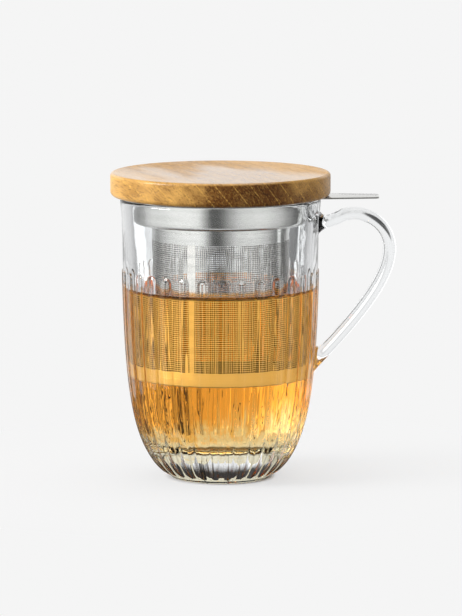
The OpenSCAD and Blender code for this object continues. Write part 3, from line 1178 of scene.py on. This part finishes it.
    def build(self) -> None:
        """Makes and dresses the whole infuser."""
        steel, dry, wet = (finish.material() for finish in (self.finish, self.sheet_finish, self.wet_finish))
        low = self.hole_first - self.hole_pitch / 2
        high = low + self.hole_rows * self.hole_pitch
        head = self.top - self.collar_depth - self.bead_height - self.seam
        for piece, finish, *nodes in (
            (self.collar(), steel, "infuser_collar"),
            (self.tab(), self.tab_finish.material(), "lift_tab"),
            (self.sleeve_band("sleeve_hem", self.sleeve_bottom + self.sheet, low), wet),
            (self.sleeve_band("sleeve_head", high, head), steel),
            (self.perforated("sleeve_mesh_low", 0, self.wet_rows), wet, "strainer_wall"),
            (self.perforated("sleeve_mesh_high", self.wet_rows, self.hole_rows - self.wet_rows), dry),
            (self.base(), wet, "strainer_base"),
        ):
            dress(piece, finish, Body.INFUSER, Slot.STEEL, *nodes)


# ---- Lid -------------------------------------------------------------------------------------------


@dataclass
class Lid:
    """The turned wooden lid with its silicone ring."""

    radius: float = 46.5
    bottom: float = 120.0
    thickness: float = 10.0
    top_round: float = 1.4
    bottom_round: float = 2.2
    spigot_depth: float = 5.6
    spigot_radius: float = 34.69
    seat_radius: float = 33.79
    seal_radius: float = 35.69
    seal_height: float = 4.0
    seal_drop: float = 0.8
    seal_lip: float = 0.8
    fin_round: float = 0.35
    fin_places: Point = (0.9, 2.9)
    disc_columns: int = 256
    ring_columns: int = 192
    finish: OiledWood = OiledWood()
    seal_finish: Silicone = Silicone()

    def build(self) -> None:
        """Makes and dresses the lid and its ring."""
        bottom, top = self.bottom, self.bottom + self.thickness
        spigot_low = bottom - self.spigot_depth
        seal_top = bottom - self.seal_drop
        seal_low = seal_top - self.seal_height
        low_round, high_round = self.bottom_round, self.top_round
        outline = (
            [(0.0, spigot_low), (self.spigot_radius, spigot_low), (self.spigot_radius, seal_low)]
            + [(self.seat_radius, seal_low), (self.seat_radius, seal_top)]
            + [(self.spigot_radius, seal_top), (self.spigot_radius, bottom)]
            + arc((self.radius - low_round, bottom + low_round), low_round, -90, 0, 10)
            + arc((self.radius - high_round, top - high_round), high_round, 0, 90, 10)
            + [(0.0, top)]
        )
        disc = turned("lid_wood", outline, self.disc_columns, 4.0)
        dress(disc, self.finish.material(), Body.LID, Slot.WOOD, "lid_disc")
        step = self.seal_height / 4
        inner = self.seal_radius - self.seal_lip
        fins = [(self.seat_radius, seal_low), (inner, seal_low)]
        for place in self.fin_places:
            tip = (self.seal_radius - self.fin_round, seal_low + (place + 0.2) * step)
            fins += arc(tip, self.fin_round, -80, 80, 6) + [(inner, seal_low + (place + 0.9) * step)]
        fins += [(inner, seal_top), (self.seat_radius, seal_top)]
        ring = turned("lid_ring", fins, self.ring_columns, math.inf, closed=True)
        dress(ring, self.seal_finish.material(), Body.LID, Slot.SILICONE, "lid_seal")


# ---- Studio ----------------------------------------------------------------------------------------


@dataclass
class Studio:
    """Pale floor, soft light and camera.

    The surround is a ring of pale and dark zones, given as pairs of azimuth in degrees and brightness, where
    1 is white and azimuth 0 is towards the camera. The glass and the steel need them to show their shape:
    outside is what a surface mirrors, through is what shows straight through the glass, and inside is what
    shows through it after a reflection. rise is the share that is left at each height, from straight down to
    straight up. Matt surfaces see only the even ambient light, and light mirrored inside the tea is steeped.
    glow is the floor's own brightness from its middle to its edge. A lamp is given by its name, its place
    and its side in metres, and its power in watts.
    """

    target: Place = (0.00445, 0.0, 0.0720)
    distance: float = 2.0
    elevation: float = 7.9
    sensor: float = 24.0
    frame_width: float = 462 / 2.36
    frame_ratio: float = 616 / 462
    paper: float = 0.913
    floor_tone: float = 0.76
    mirrored: float = 0.12
    ambient: float = 0.55
    steeped: float = 1.35
    steeped_after: float = 4.5
    floor_radius: float = 0.16
    lamps: tuple[tuple[str, Place, float, float], ...] = (
        ("key", (-1.7, -0.5, 0.9), 0.9, 45.0),
        ("top", (0.2, 0.3, 1.9), 1.4, 10.0),
    )
    lamp_aim: float = 0.07
    glow: tuple[Point, ...] = ((0.13, 0.0), (0.15, 0.72), (0.5, 0.88), (0.95, 1.0))
    through: tuple[Point, ...] = (
        (-180, 0.92), (-172, 0.92), (-168, 0.7), (-164, 1.6), (-152, 1.9), (-142, 1.6), (-138, 0.5),
        (-124, 0.8), (-116, 0.5), (-104, 0.12), (-20, 0.12), (20, 0.12), (100, 0.3), (108, 1.3), (124, 1.3),
        (128, 0.05), (146, 0.05), (149, 1.4), (156, 1.4), (158, 0.08), (160, 0.08), (161, 1.3), (164, 1.3),
        (165.5, 0.1), (170, 0.1), (172.5, 0.92), (180, 0.92),
    )
    inside: tuple[Point, ...] = (
        (-180, 0.913), (-150, 0.65), (-125, 0.4), (-106, 0.8), (-90, 1.15), (-62, 1.42), (-39, 1.5),
        (-28, 1.35), (-20, 0.7), (-12, 0.16), (-2, 0.16), (5, 0.32), (12, 0.58), (26, 1.04), (49, 1.22),
        (61, 1.17), (81, 0.86), (95, 0.43), (108, 0.13), (125, 0.16), (140, 0.65), (169, 0.913),
    )
    outside: tuple[Point, ...] = (
        (-180, 0.913), (-130, 0.9), (-120, 0.3), (-100, 0.25), (-94, 1.6), (-84, 1.6), (-78, 0.35),
        (-22, 0.3), (-14, 0.1), (3, 0.1), (12, 0.25), (80, 0.3), (88, 1.1), (96, 1.1), (104, 0.2),
        (130, 0.3), (140, 0.9),
    )
    rise: tuple[Point, ...] = ((0.0, 1.0), (0.685, 1.0), (0.735, 0.05), (1.0, 0.05))

    def camera(self) -> None:
        """Places the camera."""
        data = bpy.data.cameras.new("camera")
        camera = bpy.data.objects.new("camera", data)
        bpy.context.scene.collection.objects.link(camera)
        rise = math.radians(self.elevation)
        away = Vector((0.0, -math.cos(rise), math.sin(rise)))
        camera.location = Vector(self.target) + away * self.distance
        camera.rotation_euler = (-away).to_track_quat("-Z", "Y").to_euler()
        data.sensor_fit = "VERTICAL"
        data.sensor_height = self.sensor
        data.lens = self.sensor * self.distance / (self.frame_width * self.frame_ratio * MM)
        data.clip_end = 60.0
        bpy.context.scene.camera = camera

    def floor(self) -> None:
        """Lays a round pale floor, whose glow fades in from the shadow round the foot to its edge."""
        bm = bmesh.new()
        bmesh.ops.create_circle(bm, cap_ends=True, segments=96, radius=self.floor_radius)
        floor = finish_mesh(bm, "floor")
        made = Shader("pale_floor")
        diffuse = made.node("ShaderNodeBsdfDiffuse")
        glow = made.node("ShaderNodeEmission")
        glow.inputs["Color"].default_value = rgba(self.paper, self.paper, self.paper)
        path = made.node("ShaderNodeLightPath").outputs
        tone = made.mix(Mix.NUMBER, path["Is Reflection Ray"], self.floor_tone, self.mirrored)
        made.feed(diffuse.inputs["Color"], tone)
        seen = made.math("MAXIMUM", path["Is Camera Ray"], path["Is Transmission Ray"])
        out = made.math("DIVIDE", made.vector("LENGTH", made.place), self.floor_radius)
        share = made.times(seen, self.levels(made, "glow", out, self.glow))
        mix = made.fed("ShaderNodeMixShader", (share, diffuse.outputs[0], glow.outputs[0]))
        made.feed(made.output.inputs["Surface"], mix.outputs[0])
        made.tree.nodes.remove(made.shader)
        floor.data.materials.append(made.material)

    def world(self) -> None:
        """Sets the pale surround with its darker zones."""
        world = bpy.data.worlds.new("surround")
        bpy.context.scene.world = world
        world.use_nodes = True
        made = Nodes(world.node_tree)
        made.tree.nodes.clear()
        x, y, z = made.split(made.node("ShaderNodeTexCoord").outputs["Generated"])
        azimuth = made.math("ARCTAN2", x, made.times(y, -1.0))
        turn = made.line(azimuth, 0.5 / math.pi, 0.5)
        zones = {"through": self.through, "inside": self.inside, "outside": self.outside}
        through, inside, outside = (
            self.levels(made, name, turn, [((degrees + 180) / 360, level) for degrees, level in stops])
            for name, stops in zones.items()
        )
        rise = self.levels(made, "rise", made.line(z, 0.5, 0.5), self.rise)
        path = made.node("ShaderNodeLightPath").outputs
        bounced = made.math("GREATER_THAN", path["Glossy Depth"], 0.5)
        glass = made.mix(Mix.NUMBER, bounced, through, inside)
        shiny = made.mix(Mix.NUMBER, path["Is Reflection Ray"], glass, outside)
        deep = made.math("GREATER_THAN", path["Transmission Depth"], self.steeped_after)
        lit = made.mix(Mix.NUMBER, made.times(bounced, deep), made.times(shiny, rise), self.steeped)
        plain = made.mix(Mix.NUMBER, path["Is Diffuse Ray"], lit, self.ambient)
        background = made.node("ShaderNodeBackground")
        made.feed(background.inputs["Color"], made.mix(Mix.NUMBER, path["Is Camera Ray"], plain, self.paper))
        made.feed(made.node("ShaderNodeOutputWorld").inputs["Surface"], background.outputs[0])

    def levels(self, made: Nodes, name: str, value: Socket, stops: Sequence[Point]) -> Socket:
        """Reads a brightness off a curve, which may go up to twice white.

        Args:
            made: The tree to build in.
            name: What the curve is for.
            value: Where to read, from 0 to 1.
            stops: Pairs of place and brightness.

        Returns:
            The brightness.
        """
        ramp = made.node("ShaderNodeValToRGB", name=name)
        elements = ramp.color_ramp.elements
        elements.remove(elements[1])
        elements[0].position = stops[0][0]
        elements[0].color = rgba(*[stops[0][1] / 2] * 3)
        for place, level in stops[1:]:
            elements.new(place).color = rgba(*[level / 2] * 3)
        made.feed(ramp.inputs["Fac"], value)
        return made.times(ramp.outputs["Color"], 2.0)

    def lamp(self, name: str, place: Place, size: float, power: float) -> None:
        """Hangs a square soft lamp that faces the mug.

        Args:
            name: The lamp's name.
            place: Where it hangs, in metres.
            size: Its side in metres.
            power: Its power in watts.
        """
        data = bpy.data.lights.new(name, "AREA")
        data.size = size
        data.energy = power
        lamp = bpy.data.objects.new(name, data)
        bpy.context.scene.collection.objects.link(lamp)
        lamp.location = place
        way = Vector((0, 0, self.lamp_aim)) - Vector(place)
        lamp.rotation_euler = way.to_track_quat("-Z", "Y").to_euler()

    def build(self) -> None:
        """Sets up everything that isn't the mug."""
        self.camera()
        self.floor()
        self.world()
        for lamp in self.lamps:
            self.lamp(*lamp)


def main() -> None:
    """Builds the mug, fills it, hangs the infuser in it, lays the lid on and sets the studio."""
    logging.basicConfig(level=logging.INFO, format="%(name)s: %(message)s")
    Studio().build()
    mug = GlassMug()
    mug.build()
    Brew(mug).build()
    Infuser().build()
    Lid().build()


if __name__ == "__main__":
    bpy.context.scene.view_settings.view_transform = "Standard"
    main()
